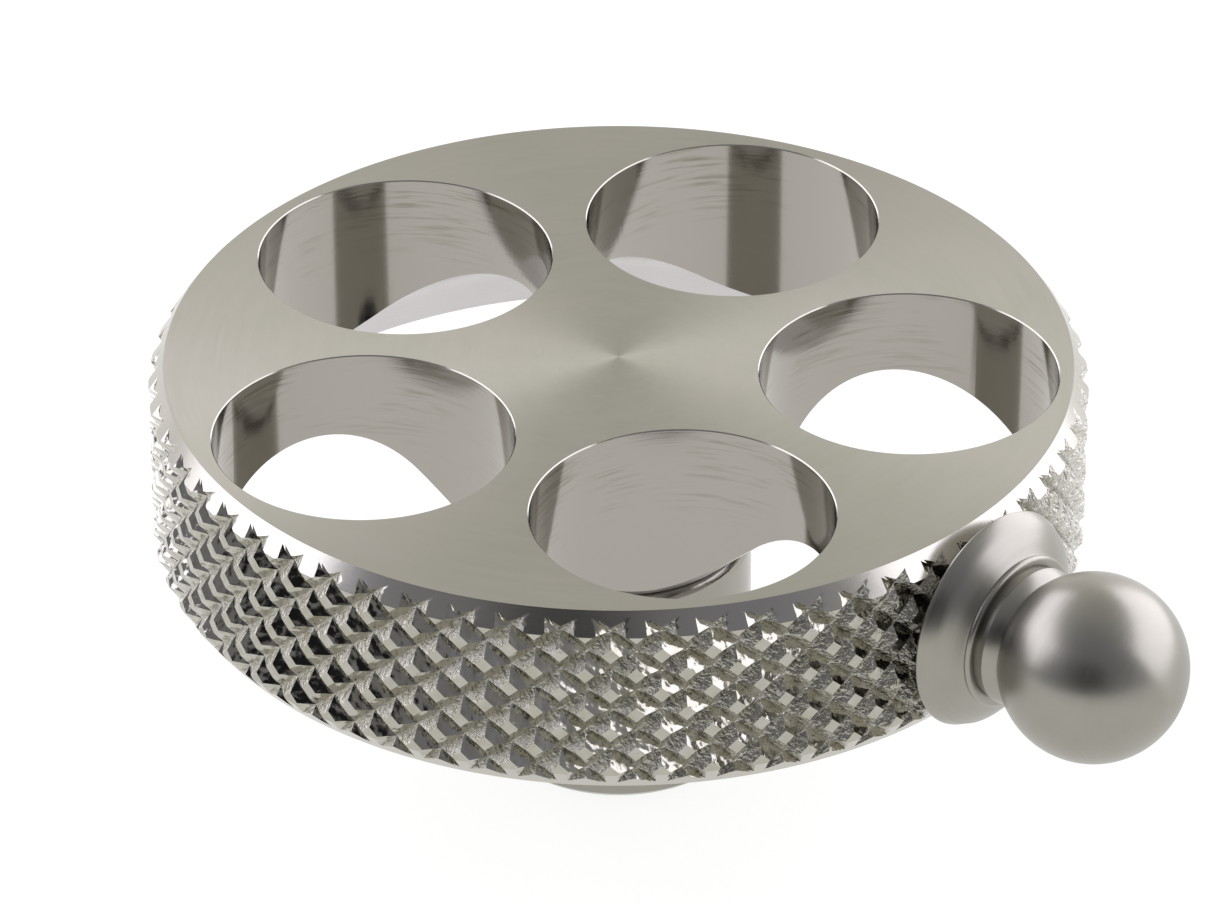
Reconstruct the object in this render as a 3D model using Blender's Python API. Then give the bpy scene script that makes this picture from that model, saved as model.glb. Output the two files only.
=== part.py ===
"""Knurled five-hole wheel handle with a ball knob, for a quarter-turn valve.

Metres, +Z up. The origin is on the handle's axis, at the blind end of the stem socket.
The knob stands out along +X, and the five holes are spaced evenly to either side of it.
"""

import math

import bmesh
import bpy
from mathutils import Matrix, Vector

# ---------------------------------------------------------------- driving dimensions
RUNNING_GAP = 0.0003        # space left between neighbouring pieces
FINE_SEGMENTS = 96          # facets round the wheel
SEGMENTS = 48               # facets round the hub, the knob and the holes
SMALL_SEGMENTS = 24         # facets round screws, pins and their holes
EDGE_STEPS = 4              # facets across a rounded edge or a bead
DOME_STEPS = 6              # facets across the flange's dome
NECK_STEPS = 3              # facets along the ball's neck
BALL_STEPS = 16             # facets from the ball's neck to its far end
RECESS_STEPS = 12           # facets across the arched ceiling under the wheel
CUT_BEYOND = 0.001          # how far a cutter runs past the face that it opens
SMOOTH_BELOW = math.radians(30)
HEX_SIDES = 6

WHEEL_RADIUS = 0.03175
WHEEL_THICKNESS = 0.01375
WHEEL_TOP_Z = 0.018
WHEEL_CHAMFER_RADIAL = 0.00103
WHEEL_CHAMFER_HEIGHT = 0.00148
HOLE_COUNT = 5
HOLE_RADIUS = 0.0101
HOLE_CIRCLE_RADIUS = 0.01965
WEB_SHARE = 0.5             # the knob sits half-way between two holes

# The round recess under the wheel, between the rim and the boss: a ring-shaped hollow with an arched
# ceiling, and straight flanks down to the rim's lower edge and to the boss.
RECESS_CENTRE_RADIUS = 0.0203
RECESS_CENTRE_Z = 0.0023
RECESS_ARCH_RADIUS = 0.0096
RECESS_OUTER_DEGREES = 32
RECESS_INNER_DEGREES = 135
RECESS_RIM_RADIUS = 0.0304
BOSS_RADIUS = 0.0088
BOSS_BOTTOM_Z = 0.00455

HUB_RADIUS = 0.0091
HUB_BOTTOM_Z = -0.012
HUB_TOP_EDGE_RADIUS = 0.0009
HUB_BOTTOM_CHAMFER = 0.0004
HUB_BORE_RADIUS = 0.0064
HUB_FLOOR_THICKNESS = 0.0035
SPIGOT_RADIUS = 0.007
SPIGOT_HEIGHT = 0.00445
SPIGOT_CHAMFER = 0.0004

HUB_SCREW_RADIUS = 0.0025
HUB_SCREW_HEAD_RADIUS = 0.0042
HUB_SCREW_HEAD_HEIGHT = 0.0022
HUB_SCREW_LENGTH = 0.0108
HUB_SCREW_SOCKET_RADIUS = 0.00173
HUB_SCREW_SOCKET_DEPTH = 0.0013
SCREW_EDGE_CHAMFER = 0.0003
WASHER_OUTER_RADIUS = 0.0045
WASHER_THICKNESS = 0.0008
WASHER_SPLIT_ANGLE = math.radians(12)

DRIVE_PIN_RADIUS = 0.001
DRIVE_PIN_LENGTH = 0.006
DRIVE_PIN_CIRCLE_RADIUS = 0.005
DRIVE_PIN_DEPTH_IN_HUB = 0.0025
DRIVE_PIN_ANGLES = (math.radians(90), math.radians(270))

ADAPTER_RADIUS = 0.0061
ADAPTER_BOTTOM_Z = -0.0117
ADAPTER_END_THICKNESS = 0.0016
ADAPTER_CHAMFER = 0.0004
ADAPTER_FLAT_DISTANCE = 0.0055
ADAPTER_FLAT_HEIGHT = 0.0052
SPLINE_TEETH = 16
SPLINE_ROOT_RADIUS = 0.0047
SPLINE_TIP_RADIUS = 0.0042

SET_SCREW_RADIUS = 0.002
SET_SCREW_LENGTH = 0.003
SET_SCREW_Z = -0.006
SET_SCREW_SOCKET_RADIUS = 0.00115
SET_SCREW_SOCKET_DEPTH = 0.0016
SET_SCREW_CUP_RADIUS = 0.0011
SET_SCREW_CUP_DEPTH = 0.0004

RING_OUTER_RADIUS = 0.0077
RING_INNER_RADIUS = 0.0065
RING_STANDS_PROUD = 0.0004
RING_SEAT_DEPTH = 0.0018
RING_LIP_RADIUS = 0.00815
RING_LIP_HEIGHT = 0.0005

KNOB_AXIS_BELOW_TOP = 0.0066
FLANGE_BOSS_RADIUS = 0.0052
FLANGE_BACK_X = 0.03245
FLANGE_BACK_RADIUS = 0.0072
FLANGE_EDGE_X = 0.03275
FLANGE_EDGE_RADIUS = 0.00755
FLANGE_DOME_END_X = 0.0347
FLANGE_DOME_END_RADIUS = 0.00545
FLANGE_DOME_BULGE = 0.00033
STEP_RING_X = 0.03495
STEP_RING_BEAD_RADIUS = 0.00027
STEP_RING_RADIUS = 0.00505
STEP_RING_START_DEGREES = -30
NECK_START_X = 0.0355
NECK_RADIUS = 0.0047
NECK_BEAD_BULGE = 0.00018
NECK_END_RADIUS = 0.0043
BALL_RADIUS = 0.00632
BALL_CENTRE_X = 0.04137
STUD_RADIUS = 0.002
STUD_START_X = 0.028
STUD_END_X = 0.0405

# ---------------------------------------------------------------- worked-out places
WHEEL_BOTTOM_Z = WHEEL_TOP_Z - WHEEL_THICKNESS
KNOB_AXIS_Z = WHEEL_TOP_Z - KNOB_AXIS_BELOW_TOP
HUB_TOP_Z = BOSS_BOTTOM_Z - RUNNING_GAP
SPIGOT_TOP_Z = BOSS_BOTTOM_Z + SPIGOT_HEIGHT
SPIGOT_SEAT_Z = SPIGOT_TOP_Z + RUNNING_GAP
HUB_FLOOR_Z = SPIGOT_TOP_Z - HUB_FLOOR_THICKNESS
ADAPTER_TOP_Z = ADAPTER_END_THICKNESS
SCREW_HEAD_Z = ADAPTER_TOP_Z + RUNNING_GAP
SCREW_SHOULDER_Z = SCREW_HEAD_Z + HUB_SCREW_HEAD_HEIGHT
SCREW_TIP_Z = SCREW_SHOULDER_Z + HUB_SCREW_LENGTH
SCREW_HOLE_RADIUS = HUB_SCREW_RADIUS + RUNNING_GAP
SCREW_HOLE_END_Z = SCREW_TIP_Z + RUNNING_GAP
WASHER_Z = SCREW_SHOULDER_Z + RUNNING_GAP
HEAD_BORE_RADIUS = WASHER_OUTER_RADIUS + RUNNING_GAP
PIN_BOTTOM_Z = SPIGOT_TOP_Z - DRIVE_PIN_DEPTH_IN_HUB
PIN_TOP_Z = PIN_BOTTOM_Z + DRIVE_PIN_LENGTH
PIN_HOLE_RADIUS = DRIVE_PIN_RADIUS + RUNNING_GAP
RING_SEAT_Z = HUB_BOTTOM_Z + RING_SEAT_DEPTH
RING_TOP_Z = RING_SEAT_Z - RUNNING_GAP
RING_BOTTOM_Z = HUB_BOTTOM_Z - RING_STANDS_PROUD
RING_SEAT_RADIUS = RING_OUTER_RADIUS + RUNNING_GAP
RING_GROOVE_RADIUS = RING_LIP_RADIUS + RUNNING_GAP
RING_GROOVE_Z = RING_TOP_Z - RING_LIP_HEIGHT - RUNNING_GAP
SET_SCREW_TIP_DISTANCE = ADAPTER_FLAT_DISTANCE + RUNNING_GAP
SET_SCREW_HOLE_RADIUS = SET_SCREW_RADIUS + RUNNING_GAP
STUD_HOLE_RADIUS = STUD_RADIUS + RUNNING_GAP


# ---------------------------------------------------------------- tools
def clear_scene():
    for obj in list(bpy.data.objects):
        bpy.data.objects.remove(obj, do_unlink=True)


def metal(name, colour, roughness):
    return material(name, colour, roughness, metallic=1.0)


def material(name, colour, roughness, metallic=0.0):
    made = bpy.data.materials.new(name)
    made.use_nodes = True
    shader = made.node_tree.nodes["Principled BSDF"]
    shader.inputs["Base Color"].default_value = (*colour, 1.0)
    shader.inputs["Roughness"].default_value = roughness
    shader.inputs["Metallic"].default_value = metallic
    return made


def arc(centre, radius, start_degrees, end_degrees, steps):
    """Points (r, z) on a circle in the profile's plane, from one angle to the other."""
    points = []
    for step in range(steps + 1):
        angle = math.radians(start_degrees + (end_degrees - start_degrees) * step / steps)
        points.append((centre[0] + radius * math.cos(angle), centre[1] + radius * math.sin(angle)))
    return points


def bulged(start, end, bulge, steps):
    """Points from start to end on a shallow curve that stands bulge away from the chord half-way."""
    chord = Vector(end) - Vector(start)
    outward = Vector((chord.y, -chord.x)).normalized()
    points = []
    for step in range(steps + 1):
        share = step / steps
        rise = bulge * 4 * share * (1 - share)  # a parabola: nothing at the ends, bulge in the middle
        point = Vector(start) + chord * share + outward * rise
        points.append((point.x, point.y))
    return points


def add_ring(mesh, radius, z, segments):
    if radius == 0:
        return [mesh.verts.new((0, 0, z))]
    ring = []
    for index in range(segments):
        angle = 2 * math.pi * index / segments
        ring.append(mesh.verts.new((radius * math.cos(angle), radius * math.sin(angle), z)))
    return ring


def join_rings(mesh, first, second):
    """Faces between two neighbouring rings, either of which may be one point on the axis. A point
    level with its ring makes one flat cap, and is left out."""
    count = max(len(first), len(second))
    if count == 1:
        return
    if min(len(first), len(second)) == 1 and first[0].co.z == second[0].co.z:
        mesh.faces.new(max(first, second, key=len))
        mesh.verts.remove(min(first, second, key=len)[0])
        return
    for index in range(count):
        after = (index + 1) % count
        if len(first) == 1:
            corners = (first[0], second[index], second[after])
        elif len(second) == 1:
            corners = (first[index], second[0], first[after])
        else:
            corners = (first[index], second[index], second[after], first[after])
        mesh.faces.new(corners)


def finish_object(name, mesh, look):
    bmesh.ops.recalc_face_normals(mesh, faces=mesh.faces)
    data = bpy.data.meshes.new(name)
    mesh.to_mesh(data)
    mesh.free()
    data.shade_smooth()
    data.set_sharp_from_angle(angle=SMOOTH_BELOW)
    obj = bpy.data.objects.new(name, data)
    bpy.context.scene.collection.objects.link(obj)
    if look:
        data.materials.append(look)
    return obj


def turned(name, profile, look=None, segments=SEGMENTS):
    """A solid turned about its own Z axis. The profile is a closed outline of (r, z) points, or an
    open one whose two ends lie on the axis."""
    mesh = bmesh.new()
    rings = [add_ring(mesh, radius, z, segments) for radius, z in profile]
    for index in range(len(rings) - 1):
        join_rings(mesh, rings[index], rings[index + 1])
    if len(rings[0]) > 1:
        join_rings(mesh, rings[-1], rings[0])
    return finish_object(name, mesh, look)


def prism(name, outline, bottom, top, look=None):
    """An outline of (x, y) points run up from bottom to top."""
    mesh = bmesh.new()
    lower = [mesh.verts.new((x, y, bottom)) for x, y in outline]
    upper = [mesh.verts.new((x, y, top)) for x, y in outline]
    mesh.faces.new(lower)
    mesh.faces.new(upper)
    join_rings(mesh, lower, upper)
    return finish_object(name, mesh, look)


def rod_profile(radius, bottom, top):
    return [(0, bottom), (radius, bottom), (radius, top), (0, top)]


def chamfered_rod(radius, bottom, top, chamfer):
    return [
        (0, bottom),
        (radius - chamfer, bottom),
        (radius, bottom + chamfer),
        (radius, top - chamfer),
        (radius - chamfer, top),
        (0, top),
    ]


def regular_outline(radius, sides):
    angles = [2 * math.pi * index / sides for index in range(sides)]
    return [(radius * math.cos(angle), radius * math.sin(angle)) for angle in angles]


def cut(body, cutter):
    """Takes the cutter out of the body. The cutter stays as a hidden guide."""
    cutter.hide_render = True
    cutter.display_type = "WIRE"
    step = body.modifiers.new(cutter.name, "BOOLEAN")
    step.operation = "DIFFERENCE"
    step.object = cutter


def along_x(obj, height):
    """Lays a turned piece on its side, so that its own Z runs along +X at the given height."""
    obj.matrix_world = Matrix.Translation((0, 0, height)) @ Matrix.Rotation(math.pi / 2, 4, "Y")


def along_minus_x(obj, height):
    obj.matrix_world = Matrix.Translation((0, 0, height)) @ Matrix.Rotation(-math.pi / 2, 4, "Y")


def parent_keeping_place(children, empty):
    bpy.context.view_layer.update()
    for child in children:
        child.parent = empty
        child.matrix_parent_inverse = empty.matrix_world.inverted()


def joint_empty(name, location):
    empty = bpy.data.objects.new(name, None)
    empty.location = location
    empty.empty_display_size = HUB_RADIUS
    bpy.context.scene.collection.objects.link(empty)
    return empty


# ---------------------------------------------------------------- the wheel
def wheel(look):
    """The disc: chamfered rim, recess and boss below, blind counterbore and tapped hole in the boss,
    and a plain top face."""
    face_radius = WHEEL_RADIUS - WHEEL_CHAMFER_RADIAL
    recess_centre = (RECESS_CENTRE_RADIUS, RECESS_CENTRE_Z)
    profile = [
        (0, WHEEL_TOP_Z),
        (face_radius, WHEEL_TOP_Z),
        (WHEEL_RADIUS, WHEEL_TOP_Z - WHEEL_CHAMFER_HEIGHT),
        (WHEEL_RADIUS, WHEEL_BOTTOM_Z + WHEEL_CHAMFER_HEIGHT),
        (face_radius, WHEEL_BOTTOM_Z),
        (RECESS_RIM_RADIUS, WHEEL_BOTTOM_Z),
        *arc(recess_centre, RECESS_ARCH_RADIUS, RECESS_OUTER_DEGREES, RECESS_INNER_DEGREES, RECESS_STEPS),
        (BOSS_RADIUS, BOSS_BOTTOM_Z),
        (SPIGOT_RADIUS + RUNNING_GAP, BOSS_BOTTOM_Z),
        (SPIGOT_RADIUS + RUNNING_GAP, SPIGOT_SEAT_Z),
        (SCREW_HOLE_RADIUS, SPIGOT_SEAT_Z),
        (SCREW_HOLE_RADIUS, SCREW_HOLE_END_Z),
        (0, SCREW_HOLE_END_Z),
    ]
    disc = turned("knurled_wheel", profile, look, FINE_SEGMENTS)
    for index in range(HOLE_COUNT):
        angle = 2 * math.pi * (index + WEB_SHARE) / HOLE_COUNT
        outline = rod_profile(HOLE_RADIUS, WHEEL_BOTTOM_Z - CUT_BEYOND, WHEEL_TOP_Z + CUT_BEYOND)
        hole = turned(f"wheel_hole_cutter_{index + 1}", outline)
        hole.location = (HOLE_CIRCLE_RADIUS * math.cos(angle), HOLE_CIRCLE_RADIUS * math.sin(angle), 0)
        cut(disc, hole)
    for index, angle in enumerate(DRIVE_PIN_ANGLES):
        cut(disc, pin_hole(f"wheel_pin_cutter_{index + 1}", angle))
    stud_hole = turned(
        "wheel_stud_cutter",
        rod_profile(STUD_HOLE_RADIUS, STUD_START_X - RUNNING_GAP, WHEEL_RADIUS + CUT_BEYOND),
        segments=SMALL_SEGMENTS,
    )
    along_x(stud_hole, KNOB_AXIS_Z)
    cut(disc, stud_hole)
    return disc


def pin_hole(name, angle):
    """The drilled space of one drive pin, which the wheel and the hub each take their half of."""
    outline = rod_profile(PIN_HOLE_RADIUS, PIN_BOTTOM_Z - RUNNING_GAP, PIN_TOP_Z + RUNNING_GAP)
    hole = turned(name, outline, segments=SMALL_SEGMENTS)
    hole.location = pin_place(angle)
    return hole


def pin_place(angle):
    return (DRIVE_PIN_CIRCLE_RADIUS * math.cos(angle), DRIVE_PIN_CIRCLE_RADIUS * math.sin(angle), 0)


# ---------------------------------------------------------------- the hub and what holds it
def hub(look):
    """The sleeve under the wheel: a spigot above, the adapter's bore and the ring's seat below."""
    edge_centre = (HUB_RADIUS - HUB_TOP_EDGE_RADIUS, HUB_TOP_Z - HUB_TOP_EDGE_RADIUS)
    profile = [
        (SCREW_HOLE_RADIUS, SPIGOT_TOP_Z),
        (SPIGOT_RADIUS - SPIGOT_CHAMFER, SPIGOT_TOP_Z),
        (SPIGOT_RADIUS, SPIGOT_TOP_Z - SPIGOT_CHAMFER),
        (SPIGOT_RADIUS, HUB_TOP_Z),
        *arc(edge_centre, HUB_TOP_EDGE_RADIUS, 90, 0, EDGE_STEPS),
        (HUB_RADIUS, HUB_BOTTOM_Z + HUB_BOTTOM_CHAMFER),
        (HUB_RADIUS - HUB_BOTTOM_CHAMFER, HUB_BOTTOM_Z),
        (RING_SEAT_RADIUS, HUB_BOTTOM_Z),
        (RING_SEAT_RADIUS, RING_GROOVE_Z),
        (RING_GROOVE_RADIUS, RING_GROOVE_Z),
        (RING_GROOVE_RADIUS, RING_SEAT_Z),
        (HUB_BORE_RADIUS, RING_SEAT_Z),
        (HUB_BORE_RADIUS, SCREW_HEAD_Z),
        (HEAD_BORE_RADIUS, SCREW_HEAD_Z),
        (HEAD_BORE_RADIUS, HUB_FLOOR_Z),
        (SCREW_HOLE_RADIUS, HUB_FLOOR_Z),
    ]
    sleeve = turned("hub_sleeve", profile, look)
    for index, angle in enumerate(DRIVE_PIN_ANGLES):
        cut(sleeve, pin_hole(f"hub_pin_cutter_{index + 1}", angle))
    screw_hole = turned(
        "hub_set_screw_cutter",
        rod_profile(SET_SCREW_HOLE_RADIUS, SET_SCREW_TIP_DISTANCE - CUT_BEYOND, HUB_RADIUS + CUT_BEYOND),
        segments=SMALL_SEGMENTS,
    )
    along_minus_x(screw_hole, SET_SCREW_Z)
    cut(sleeve, screw_hole)
    return sleeve


def hub_screw(look):
    """The low-head cap screw, head down, with its hex socket open towards the stem."""
    profile = [
        (0, SCREW_HEAD_Z),
        (HUB_SCREW_HEAD_RADIUS - SCREW_EDGE_CHAMFER, SCREW_HEAD_Z),
        (HUB_SCREW_HEAD_RADIUS, SCREW_HEAD_Z + SCREW_EDGE_CHAMFER),
        (HUB_SCREW_HEAD_RADIUS, SCREW_SHOULDER_Z),
        (HUB_SCREW_RADIUS, SCREW_SHOULDER_Z),
        (HUB_SCREW_RADIUS, SCREW_TIP_Z - SCREW_EDGE_CHAMFER),
        (HUB_SCREW_RADIUS - SCREW_EDGE_CHAMFER, SCREW_TIP_Z),
        (0, SCREW_TIP_Z),
    ]
    screw = turned("hub_screw", profile, look, SMALL_SEGMENTS)
    socket = prism(
        "hub_screw_socket_cutter",
        regular_outline(HUB_SCREW_SOCKET_RADIUS, HEX_SIDES),
        SCREW_HEAD_Z - CUT_BEYOND,
        SCREW_HEAD_Z + HUB_SCREW_SOCKET_DEPTH,
    )
    cut(screw, socket)
    return screw


def lock_washer(look):
    """A split ring, drawn closed under the screw's head, with its slit kept open."""
    turn = 2 * math.pi - WASHER_SPLIT_ANGLE
    steps = SMALL_SEGMENTS
    angles = [WASHER_SPLIT_ANGLE / 2 + turn * step / steps for step in range(steps + 1)]
    outer = [(WASHER_OUTER_RADIUS * math.cos(a), WASHER_OUTER_RADIUS * math.sin(a)) for a in angles]
    inner = [(SCREW_HOLE_RADIUS * math.cos(a), SCREW_HOLE_RADIUS * math.sin(a)) for a in reversed(angles)]
    return prism("hub_lock_washer", outer + inner, WASHER_Z, WASHER_Z + WASHER_THICKNESS, look)


def drive_pin(number, angle, look):
    profile = chamfered_rod(DRIVE_PIN_RADIUS, PIN_BOTTOM_Z, PIN_TOP_Z, SCREW_EDGE_CHAMFER)
    pin = turned(f"drive_pin_{number}", profile, look, SMALL_SEGMENTS)
    pin.location = pin_place(angle)
    return pin


# ---------------------------------------------------------------- the stem's fitting
def spline_outline():
    """The socket's toothed outline: straight flanks between root and tip circles."""
    points = []
    for index in range(2 * SPLINE_TEETH):
        radius = SPLINE_TIP_RADIUS if index % 2 else SPLINE_ROOT_RADIUS
        angle = math.pi * index / SPLINE_TEETH
        points.append((radius * math.cos(angle), radius * math.sin(angle)))
    return points


def stem_adapter(look):
    """The insert: a toothed blind socket for the stem, and a flat for the set screw's tip."""
    profile = chamfered_rod(ADAPTER_RADIUS, ADAPTER_BOTTOM_Z, ADAPTER_TOP_Z, ADAPTER_CHAMFER)
    insert = turned("stem_adapter", profile, look)
    socket = prism("stem_socket_cutter", spline_outline(), ADAPTER_BOTTOM_Z - CUT_BEYOND, 0)
    cut(insert, socket)
    low = SET_SCREW_Z - ADAPTER_FLAT_HEIGHT / 2
    high = SET_SCREW_Z + ADAPTER_FLAT_HEIGHT / 2
    near = -ADAPTER_FLAT_DISTANCE
    far = -(ADAPTER_RADIUS + CUT_BEYOND)
    flat = prism(
        "adapter_flat_cutter",
        [(near, ADAPTER_RADIUS), (far, ADAPTER_RADIUS), (far, -ADAPTER_RADIUS), (near, -ADAPTER_RADIUS)],
        low,
        high,
    )
    cut(insert, flat)
    return insert


def set_screw(look):
    """The grub screw: hex socket outwards, cupped tip inwards. Its own Z points away from the axis."""
    outer_end = SET_SCREW_TIP_DISTANCE + SET_SCREW_LENGTH
    profile = [
        (0, SET_SCREW_TIP_DISTANCE + SET_SCREW_CUP_DEPTH),
        (SET_SCREW_CUP_RADIUS, SET_SCREW_TIP_DISTANCE),
        (SET_SCREW_RADIUS - SCREW_EDGE_CHAMFER, SET_SCREW_TIP_DISTANCE),
        (SET_SCREW_RADIUS, SET_SCREW_TIP_DISTANCE + SCREW_EDGE_CHAMFER),
        (SET_SCREW_RADIUS, outer_end - SCREW_EDGE_CHAMFER),
        (SET_SCREW_RADIUS - SCREW_EDGE_CHAMFER, outer_end),
        (0, outer_end),
    ]
    screw = turned("set_screw", profile, look, SMALL_SEGMENTS)
    socket = prism(
        "set_screw_socket_cutter",
        regular_outline(SET_SCREW_SOCKET_RADIUS, HEX_SIDES),
        outer_end - SET_SCREW_SOCKET_DEPTH,
        outer_end + CUT_BEYOND,
    )
    along_minus_x(screw, SET_SCREW_Z)
    along_minus_x(socket, SET_SCREW_Z)
    cut(screw, socket)
    return screw


def glide_ring(look):
    """The slip ring in the hub's lower end. Its lip snaps into the groove above its seat."""
    profile = [
        (RING_INNER_RADIUS, RING_BOTTOM_Z),
        (RING_OUTER_RADIUS, RING_BOTTOM_Z),
        (RING_OUTER_RADIUS, RING_TOP_Z - RING_LIP_HEIGHT),
        (RING_LIP_RADIUS, RING_TOP_Z - RING_LIP_HEIGHT),
        (RING_OUTER_RADIUS, RING_TOP_Z),
        (RING_INNER_RADIUS, RING_TOP_Z),
    ]
    return turned("glide_ring", profile, look)


# ---------------------------------------------------------------- the knob
def knob_flange(look):
    """The rose: a boss against the rim, a domed face and one step ring."""
    bead_centre = (STEP_RING_RADIUS, STEP_RING_X)
    profile = [
        (STUD_HOLE_RADIUS, WHEEL_RADIUS + RUNNING_GAP),
        (FLANGE_BOSS_RADIUS, WHEEL_RADIUS + RUNNING_GAP),
        (FLANGE_BOSS_RADIUS, FLANGE_BACK_X),
        (FLANGE_BACK_RADIUS, FLANGE_BACK_X),
        *bulged(
            (FLANGE_EDGE_RADIUS, FLANGE_EDGE_X),
            (FLANGE_DOME_END_RADIUS, FLANGE_DOME_END_X),
            FLANGE_DOME_BULGE,
            DOME_STEPS,
        ),
        *arc(bead_centre, STEP_RING_BEAD_RADIUS, STEP_RING_START_DEGREES, 90, EDGE_STEPS),
        (STUD_HOLE_RADIUS, STEP_RING_X + STEP_RING_BEAD_RADIUS),
    ]
    rose = turned("knob_flange", profile, look)
    along_x(rose, KNOB_AXIS_Z)
    return rose


def knob_ball(look):
    """The ball and its neck, turned in one, with a blind tapped hole for the stud."""
    neck_depth = math.sqrt(BALL_RADIUS**2 - NECK_END_RADIUS**2)
    neck_angle = math.degrees(math.atan2(-neck_depth, NECK_END_RADIUS))
    profile = [
        (0, STUD_END_X + RUNNING_GAP),
        (STUD_HOLE_RADIUS, STUD_END_X + RUNNING_GAP),
        (STUD_HOLE_RADIUS, NECK_START_X),
        *bulged(
            (NECK_RADIUS, NECK_START_X),
            (NECK_END_RADIUS, BALL_CENTRE_X - neck_depth),
            NECK_BEAD_BULGE,
            NECK_STEPS,
        )[:-1],
        *arc((0, BALL_CENTRE_X), BALL_RADIUS, neck_angle, 90, BALL_STEPS)[:-1],
        (0, BALL_CENTRE_X + BALL_RADIUS),
    ]
    ball = turned("knob_ball", profile, look)
    along_x(ball, KNOB_AXIS_Z)
    return ball


def knob_stud(look):
    profile = chamfered_rod(STUD_RADIUS, STUD_START_X, STUD_END_X, SCREW_EDGE_CHAMFER)
    stud = turned("knob_stud", profile, look, SMALL_SEGMENTS)
    along_x(stud, KNOB_AXIS_Z)
    return stud


# ---------------------------------------------------------------- the whole handle
def main():
    clear_scene()
    turning = [
        wheel(metal("satin_nickel_wheel", (0.40, 0.39, 0.33), 0.30)),
        hub(metal("satin_nickel_hub", (0.40, 0.39, 0.33), 0.25)),
        hub_screw(metal("stainless_hub_screw", (0.50, 0.50, 0.50), 0.35)),
        lock_washer(metal("spring_steel_washer", (0.30, 0.30, 0.31), 0.40)),
        stem_adapter(metal("brass_adapter", (0.60, 0.45, 0.20), 0.35)),
        knob_flange(metal("satin_nickel_flange", (0.42, 0.40, 0.36), 0.30)),
        knob_ball(metal("satin_nickel_ball", (0.42, 0.40, 0.36), 0.30)),
        knob_stud(metal("stainless_stud", (0.50, 0.50, 0.50), 0.35)),
    ]
    for index, angle in enumerate(DRIVE_PIN_ANGLES):
        look = metal(f"hardened_pin_{index + 1}", (0.35, 0.35, 0.36), 0.25)
        turning.append(drive_pin(index + 1, angle, look))
    screw = set_screw(metal("black_oxide_set_screw", (0.05, 0.05, 0.055), 0.45))
    glide_ring(material("nylon_ring", (0.80, 0.79, 0.74), 0.55))
    handle_axis = joint_empty("handle_axis", (0, 0, 0))
    screw_axis = joint_empty("set_screw_axis", (-SET_SCREW_TIP_DISTANCE, 0, SET_SCREW_Z))
    parent_keeping_place(turning, handle_axis)
    parent_keeping_place([screw], screw_axis)
    parent_keeping_place([screw_axis], handle_axis)


main()
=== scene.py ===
"""The looks of a knurled wheel handle with a ball knob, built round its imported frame.

Metres, +Z up. The wheel's axis is Z, and the knob stands out along +X.
"""

import math

import bmesh
import bpy
from mathutils import Matrix, Vector, geometry, noise


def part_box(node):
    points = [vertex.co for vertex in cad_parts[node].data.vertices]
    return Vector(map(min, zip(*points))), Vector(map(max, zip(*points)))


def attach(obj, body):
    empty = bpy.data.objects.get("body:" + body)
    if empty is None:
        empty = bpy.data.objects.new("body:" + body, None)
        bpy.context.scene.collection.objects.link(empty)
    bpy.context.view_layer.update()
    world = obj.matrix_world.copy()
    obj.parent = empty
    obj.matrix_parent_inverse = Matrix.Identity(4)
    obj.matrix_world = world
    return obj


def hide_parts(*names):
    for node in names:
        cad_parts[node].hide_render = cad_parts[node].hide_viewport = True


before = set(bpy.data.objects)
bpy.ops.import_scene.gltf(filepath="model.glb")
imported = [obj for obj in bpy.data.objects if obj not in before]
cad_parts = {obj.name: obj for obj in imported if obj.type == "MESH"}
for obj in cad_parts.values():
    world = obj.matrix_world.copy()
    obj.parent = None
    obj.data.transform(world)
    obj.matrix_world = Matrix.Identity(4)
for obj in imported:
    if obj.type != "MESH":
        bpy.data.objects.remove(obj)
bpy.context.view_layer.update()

# ---------------------------------------------------------------- places read from the frame
WHEEL_LOW, WHEEL_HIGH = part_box("knurled_wheel")
HUB_LOW, HUB_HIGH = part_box("hub_sleeve")
RING_LOW, RING_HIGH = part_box("glide_ring")
FLANGE_LOW, FLANGE_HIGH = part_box("knob_flange")
BALL_LOW, BALL_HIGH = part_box("knob_ball")
STUD_LOW, STUD_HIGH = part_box("knob_stud")
GRUB_LOW, GRUB_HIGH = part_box("set_screw")
ADAPTER_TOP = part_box("stem_adapter")[1].z
SCREW_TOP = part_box("hub_screw")[1].z
PINS = ("drive_pin_1", "drive_pin_2")

WHEEL_RADIUS = WHEEL_HIGH.x
WHEEL_TOP = WHEEL_HIGH.z
WHEEL_BOTTOM = WHEEL_LOW.z
HUB_RADIUS = HUB_HIGH.x
KNOB_AXIS_Z = (BALL_LOW.z + BALL_HIGH.z) / 2
BALL_RADIUS = (BALL_HIGH.z - BALL_LOW.z) / 2
BALL_CENTRE = BALL_HIGH.x - BALL_RADIUS
FLANGE_RADIUS = (FLANGE_HIGH.z - FLANGE_LOW.z) / 2

# ---------------------------------------------------------------- sizes for every piece
UP = Vector((0, 0, 1))
ROUND = 144                 # facets round a turned piece
EDGE_STEPS = 8              # facets across a small rounded edge
SMOOTH_BELOW = math.radians(28)
TINY = 1e-7
NEAR = TINY * 10            # points closer than this are one point
ROOM = 0.0003               # left round a pin, screw or spigot in its hole
TAPPED_ROOM = 0.00012       # left round the set screw in its tapped hole
BEYOND = 0.001              # how far a cutter runs past the face that it opens

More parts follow.
